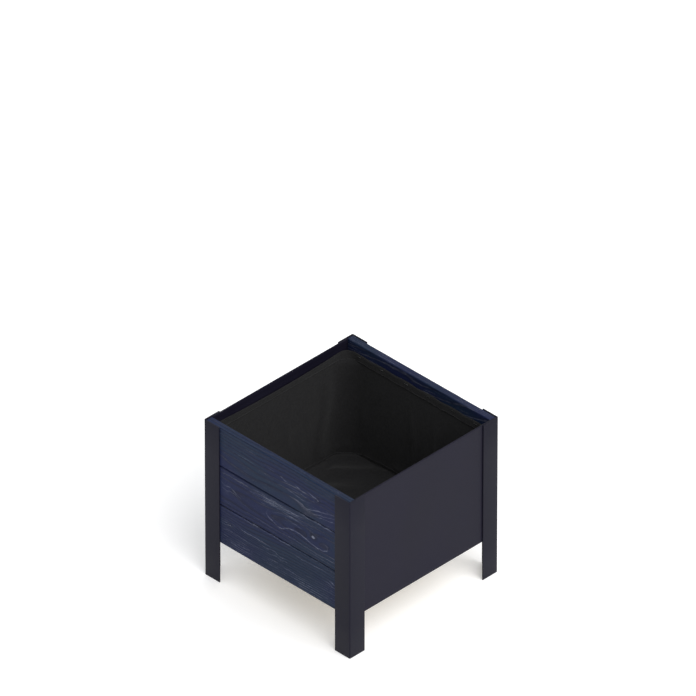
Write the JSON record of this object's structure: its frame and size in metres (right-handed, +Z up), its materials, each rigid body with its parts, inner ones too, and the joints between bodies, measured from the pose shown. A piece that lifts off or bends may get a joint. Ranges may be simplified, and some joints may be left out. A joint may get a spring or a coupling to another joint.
{
  "type": "raised planter on legs",
  "caption": "Square raised garden planter, open at the top, with tongue-and-groove board sides, steel sides, folded steel corner legs, a slatted base and a felt liner.",
  "frame": {"origin": "on the ground, in the middle of the planter's footprint", "axes": "+Z up; +X towards the right steel side; -Y towards the front board side, +Y towards the rear board side"},
  "size_m": [0.486, 0.4976, 0.45],
  "materials": {
    "leg_coating": "anthracite powder coat, fine texture, satin",
    "panel_coating": "anthracite powder coat, fine texture, satin",
    "stained_board": "brushed softwood under a blue-black stain, grain raised and partly worn",
    "bare_slat": "rough-planed softwood, pressure treated, unstained",
    "liner_felt": "black needled felt, matt",
    "zinc_plate": "bright zinc plate, slightly dulled"
  },
  "bodies": {
    "root": {"front_left_leg": "leg_coating", "front_right_leg": "leg_coating", "rear_left_leg": "leg_coating", "rear_right_leg": "leg_coating", "left_steel_panel": "panel_coating", "right_steel_panel": "panel_coating", "front_board_bottom": "stained_board", "front_board_middle": "stained_board", "front_board_top": "stained_board", "rear_board_bottom": "stained_board", "rear_board_middle": "stained_board", "rear_board_top": "stained_board", "base_slat_1": "bare_slat", "base_slat_2": "bare_slat", "base_slat_3": "bare_slat", "base_slat_4": "bare_slat", "base_slat_5": "bare_slat", "liner": "liner_felt", "front_left_nut_bottom": "zinc_plate", "front_left_washer_bottom": "zinc_plate", "front_left_nut_middle": "zinc_plate", "front_left_washer_middle": "zinc_plate", "front_left_nut_top": "zinc_plate", "front_left_washer_top": "zinc_plate", "front_left_flange_nut_lower": "zinc_plate", "front_left_flange_nut_upper": "zinc_plate", "front_right_nut_bottom": "zinc_plate", "front_right_washer_bottom": "zinc_plate", "front_right_nut_middle": "zinc_plate", "front_right_washer_middle": "zinc_plate", "front_right_nut_top": "zinc_plate", "front_right_washer_top": "zinc_plate", "front_right_flange_nut_lower": "zinc_plate", "front_right_flange_nut_upper": "zinc_plate", "rear_left_nut_bottom": "zinc_plate", "rear_left_washer_bottom": "zinc_plate", "rear_left_nut_middle": "zinc_plate", "rear_left_washer_middle": "zinc_plate", "rear_left_nut_top": "zinc_plate", "rear_left_washer_top": "zinc_plate", "rear_left_flange_nut_lower": "zinc_plate", "rear_left_flange_nut_upper": "zinc_plate", "rear_right_nut_bottom": "zinc_plate", "rear_right_washer_bottom": "zinc_plate", "rear_right_nut_middle": "zinc_plate", "rear_right_washer_middle": "zinc_plate", "rear_right_nut_top": "zinc_plate", "rear_right_washer_top": "zinc_plate", "rear_right_flange_nut_lower": "zinc_plate", "rear_right_flange_nut_upper": "zinc_plate", "slat_screw_left_1": "zinc_plate", "slat_screw_left_2": "zinc_plate", "slat_screw_left_3": "zinc_plate", "slat_screw_left_4": "zinc_plate", "slat_screw_left_5": "zinc_plate", "slat_screw_right_1": "zinc_plate", "slat_screw_right_2": "zinc_plate", "slat_screw_right_3": "zinc_plate", "slat_screw_right_4": "zinc_plate", "slat_screw_right_5": "zinc_plate"}
  },
  "joints": []
}
